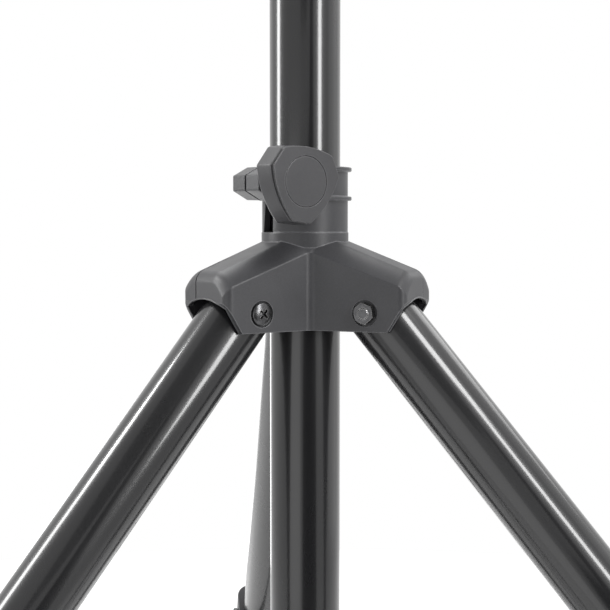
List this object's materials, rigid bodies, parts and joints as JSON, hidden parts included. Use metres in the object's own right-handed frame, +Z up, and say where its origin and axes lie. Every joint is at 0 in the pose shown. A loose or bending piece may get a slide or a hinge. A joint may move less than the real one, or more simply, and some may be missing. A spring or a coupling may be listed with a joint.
{
  "type": "speaker tripod stand",
  "caption": "Folding speaker stand: legs and twin braces on a clamped hub round a steel tube, with a telescoping pole held by a clamp knob.",
  "frame": {"origin": "on the floor, in the middle of the box round the three feet", "axes": "+Z up the main tube, +Y towards the leg behind the tube, +X to the right between the two front legs"},
  "size_m": [0.9732, 0.8483, 1.165],
  "materials": {
    "black_tube": "gloss black lacquer on steel tube",
    "moulded_housing": "fine grained dark grey moulding",
    "knob_plastic": "fine grained dark grey moulding",
    "bush_plastic": "smooth black moulding",
    "dark_steel": "dark zinc plated",
    "foot_rubber": "matt black rubber"
  },
  "bodies": {
    "column": {"main_tube": "black_tube", "main_tube_plug": "bush_plastic", "lower_collar": "moulded_housing", "lower_collar_screw": "dark_steel", "upper_collar": "moulded_housing", "pole_bush": "bush_plastic", "upper_clamp_bolt": "dark_steel"},
    "pole": {"pole": "black_tube", "pole_end_plug": "bush_plastic", "pole_top_cap": "bush_plastic"},
    "upper_knob": {"upper_knob": "knob_plastic", "upper_knob_nut": "dark_steel", "upper_knob_cap": "knob_plastic"},
    "hub": {"leg_housing": "moulded_housing", "hub_clamp_bolt": "dark_steel", "leg_pivot_bolt_1": "dark_steel", "leg_pivot_nut_1": "dark_steel", "leg_pivot_bolt_2": "dark_steel", "leg_pivot_nut_2": "dark_steel", "leg_pivot_bolt_3": "dark_steel", "leg_pivot_nut_3": "dark_steel"},
    "hub_knob": {"hub_knob": "knob_plastic", "hub_knob_nut": "dark_steel", "hub_knob_cap": "knob_plastic"},
    "leg_1": {"leg_tube_1": "black_tube", "leg_top_plug_1": "bush_plastic", "foot_1": "foot_rubber", "brace_bracket_1": "moulded_housing", "brace_bolt_1": "dark_steel", "brace_nut_1": "dark_steel"},
    "brace_1": {"brace_a_1": "black_tube", "brace_b_1": "black_tube", "brace_pin_a_1": "dark_steel", "brace_pin_b_1": "dark_steel"},
    "leg_2": {"leg_tube_2": "black_tube", "leg_top_plug_2": "bush_plastic", "foot_2": "foot_rubber", "brace_bracket_2": "moulded_housing", "brace_bolt_2": "dark_steel", "brace_nut_2": "dark_steel"},
    "brace_2": {"brace_a_2": "black_tube", "brace_b_2": "black_tube", "brace_pin_a_2": "dark_steel", "brace_pin_b_2": "dark_steel"},
    "leg_3": {"leg_tube_3": "black_tube", "leg_top_plug_3": "bush_plastic", "foot_3": "foot_rubber", "brace_bracket_3": "moulded_housing", "brace_bolt_3": "dark_steel", "brace_nut_3": "dark_steel"},
    "brace_3": {"brace_a_3": "black_tube", "brace_b_3": "black_tube", "brace_pin_a_3": "dark_steel", "brace_pin_b_3": "dark_steel"}
  },
  "joints": [
    {"name": "fold", "type": "hinge", "parent": "column", "child": "brace_1", "pos_m": [-0.03733, -0.15681, 0.08352], "axis": [-0.5, 0.866, 0], "range_deg": [-5, 40]},
    {"name": "leg_1_fold", "type": "hinge", "parent": "brace_1", "child": "leg_1", "pos_m": [-0.21767, -0.26093, 0.32649], "axis": [0.5, -0.866, 0], "range_deg": [-10, 80]},
    {"name": "hub_glide", "type": "hinge", "parent": "leg_1", "child": "hub", "pos_m": [-0.03733, -0.15681, 0.56945], "axis": [0.5, -0.866, 0], "range_deg": [-40, 5]},
    {"name": "leg_2_fold", "type": "hinge", "parent": "hub", "child": "leg_2", "pos_m": [0.03733, -0.15681, 0.56945], "axis": [0.5, 0.866, 0], "range_deg": [-5, 40]},
    {"name": "brace_2_fold", "type": "hinge", "parent": "column", "child": "brace_2", "pos_m": [0.03733, -0.15681, 0.08352], "axis": [-0.5, -0.866, 0], "range_deg": [-5, 40]},
    {"name": "leg_3_fold", "type": "hinge", "parent": "hub", "child": "leg_3", "pos_m": [0, -0.09216, 0.56945], "axis": [-1, 0, 0], "range_deg": [-5, 40]},
    {"name": "brace_3_fold", "type": "hinge", "parent": "column", "child": "brace_3", "pos_m": [0, -0.09216, 0.08352], "axis": [1, 0, 0], "range_deg": [-5, 40]},
    {"name": "pole_slide", "type": "slide", "parent": "column", "child": "pole", "axis": [0, 0, 1], "range_m": [0, 0.7]},
    {"name": "hub_knob_turn", "type": "hinge", "parent": "hub", "child": "hub_knob", "pos_m": [-0.02494, -0.14966, 0.63715], "axis": [0.5, -0.866, 0], "range_deg": [0, 720]},
    {"name": "upper_knob_turn", "type": "hinge", "parent": "column", "child": "upper_knob", "pos_m": [-0.02494, -0.14966, 1.0251], "axis": [0.5, -0.866, 0], "range_deg": [0, 720]}
  ],
  "couplings": [
    {"joint": "leg_1_fold", "follows": "fold", "ratio": 2},
    {"joint": "hub_glide", "follows": "fold", "ratio": -1},
    {"joint": "leg_2_fold", "follows": "fold", "ratio": 1},
    {"joint": "brace_2_fold", "follows": "fold", "ratio": 1},
    {"joint": "leg_3_fold", "follows": "fold", "ratio": 1},
    {"joint": "brace_3_fold", "follows": "fold", "ratio": 1}
  ]
}
